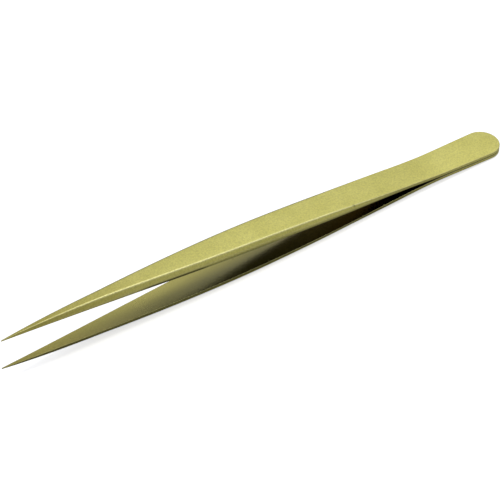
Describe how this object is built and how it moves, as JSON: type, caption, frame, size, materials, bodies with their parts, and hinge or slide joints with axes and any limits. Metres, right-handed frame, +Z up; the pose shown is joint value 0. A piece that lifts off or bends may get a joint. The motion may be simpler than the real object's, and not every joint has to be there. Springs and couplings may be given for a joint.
{
  "type": "stamp tongs",
  "caption": "Long, slim spring tongs: bowed brass leaves joined flat at a rounded tail and drawn out to needle-fine tips that spring apart, squeezed to pick up stamps.",
  "frame": {"origin": "centre of the footprint, on the surface that the tongs lie on", "axes": "+X towards the tail, along the length, with the tips towards -X; +Y across the leaves' width; +Z up from the table. The leaves' middle plane climbs 2.95 degrees from the tail to the tips, as it does when the tongs lie on the lower leaf's belly and the end of the tail"},
  "size_m": [0.14, 0.0088, 0.0127],
  "materials": {
    "leaf_brass": null,
    "braze": "dull braze seam, assumed"
  },
  "bodies": {
    "tail": {"upper_leaf_tail": "leaf_brass", "lower_leaf_tail": "leaf_brass", "braze_film": "braze"},
    "upper_arm": {"upper_leaf_waist": "leaf_brass", "upper_leaf_grip": "leaf_brass", "upper_leaf_point": "leaf_brass"},
    "lower_arm": {"lower_leaf_waist": "leaf_brass", "lower_leaf_grip": "leaf_brass", "lower_leaf_point": "leaf_brass"}
  },
  "joints": [
    {"name": "upper_flex", "type": "hinge", "parent": "tail", "child": "upper_arm", "pos_m": [0.03907, 0, 0.00327], "axis": [0, -1, 0], "range_deg": [0, 2.15], "stiffness_Nm_per_rad": 2},
    {"name": "lower_flex", "type": "hinge", "parent": "tail", "child": "lower_arm", "pos_m": [0.039, 0, 0.00178], "axis": [0, 1, 0], "range_deg": [0, 2.15], "stiffness_Nm_per_rad": 2}
  ]
}
